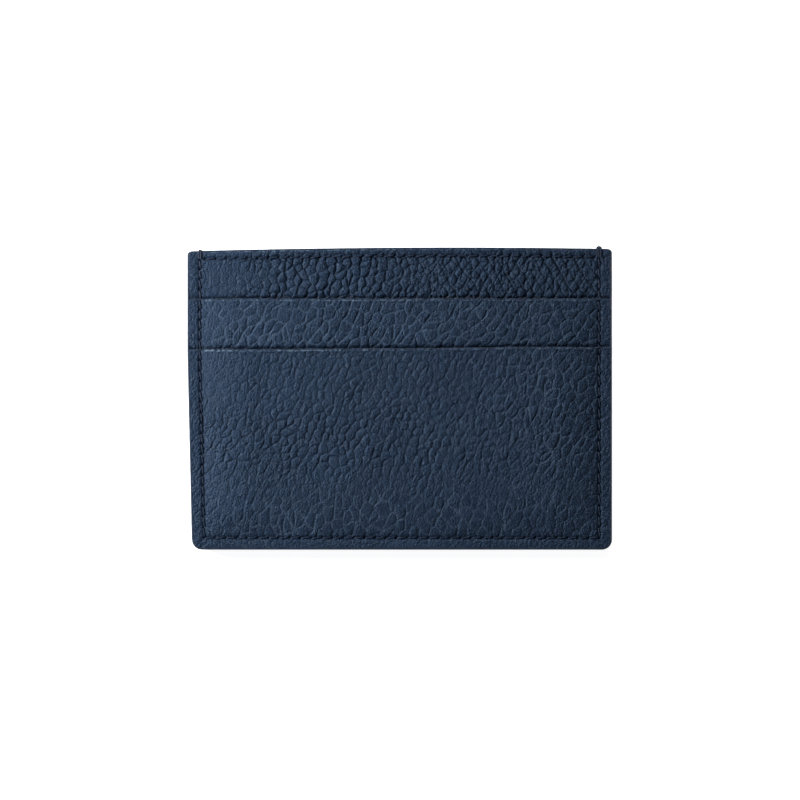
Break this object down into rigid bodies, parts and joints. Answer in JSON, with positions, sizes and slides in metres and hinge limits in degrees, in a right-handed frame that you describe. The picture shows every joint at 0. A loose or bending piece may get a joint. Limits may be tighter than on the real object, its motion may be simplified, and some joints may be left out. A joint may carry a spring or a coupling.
{
  "type": "card holder",
  "caption": "Slim flat leather card holder with stepped card slots on both sides and a centre pocket open along the top, sewn round its sides and bottom.",
  "frame": {"origin": "bottom centre of the bounding box, on the surface the holder lies on: the middle of the back pocket's face", "axes": "+Z out of the front pocket's face, through the thickness; +Y from the sewn bottom edge to the open top edge; +X to the right as the front is read"},
  "size_m": [0.1, 0.0711, 0.0064],
  "materials": {
    "grained_leather": "navy full-grain leather with a coarse slanting pebble, satin",
    "edge_paint": "smooth navy edge paint, semi-matt",
    "thread": "bonded polyester sewing thread, dark navy",
    "lining_fabric": "fine plain-woven lining, navy",
    "tail_fabric": "thin plain-woven pocket fabric, near black"
  },
  "bodies": {
    "root": {"front_lower_pocket": "grained_leather", "front_upper_pocket": "grained_leather", "front_body_panel": "grained_leather", "front_upper_pocket_tail": "tail_fabric", "front_pocket_lining": "lining_fabric", "front_top_edge_paint": "edge_paint", "front_upper_slot_edge_paint": "edge_paint", "front_lower_slot_edge_paint": "edge_paint", "front_perimeter_stitches": "thread", "front_top_hem_stitches": "thread", "front_tail_stitches": "thread", "back_lower_pocket": "grained_leather", "back_upper_pocket": "grained_leather", "back_body_panel": "grained_leather", "back_upper_pocket_tail": "tail_fabric", "back_pocket_lining": "lining_fabric", "back_top_edge_paint": "edge_paint", "back_upper_slot_edge_paint": "edge_paint", "back_lower_slot_edge_paint": "edge_paint", "back_perimeter_stitches": "thread", "back_top_hem_stitches": "thread", "back_tail_stitches": "thread", "perimeter_edge_paint": "edge_paint", "seam_end_loops": "thread"}
  },
  "joints": []
}
